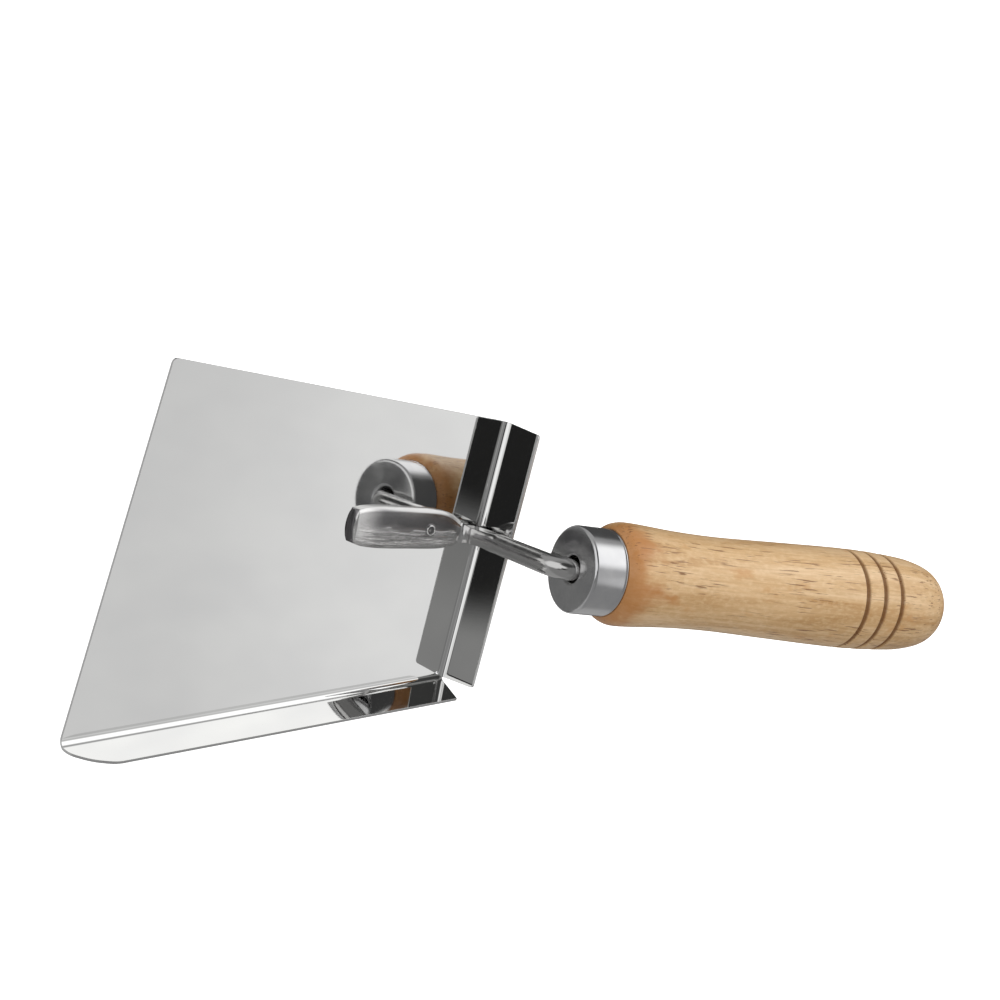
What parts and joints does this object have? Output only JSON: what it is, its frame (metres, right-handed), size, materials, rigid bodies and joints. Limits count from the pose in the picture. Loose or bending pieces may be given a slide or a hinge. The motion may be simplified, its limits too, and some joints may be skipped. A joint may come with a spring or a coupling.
{
  "type": "inside corner trowel",
  "caption": "Inside corner plastering trowel: a flat steel blade with folded heel and side flanges, on a bent steel tang with a ferrule and a turned wooden handle.",
  "frame": {"origin": "middle of the blade's flat working face, which lies on z = 0", "axes": "+X from the blade's front edge towards the handle, square to the heel fold; +Y towards the blade's plain side edge; +Z from the working face up to the handle"},
  "size_m": [0.2503, 0.1063, 0.0789],
  "materials": {
    "polished_steel": "polished stainless sheet with a faint rolling grain",
    "forged_steel": "forged and ground, bright plated, with fine grinding marks",
    "ferrule_steel": "pressed and polished, faintly brushed round the side",
    "handle_wood": "light turned hardwood under thin clear lacquer, with short pores along the grain"
  },
  "bodies": {
    "root": {"blade": "polished_steel", "tang": "forged_steel", "ferrule": "ferrule_steel", "handle": "handle_wood"}
  },
  "joints": []
}
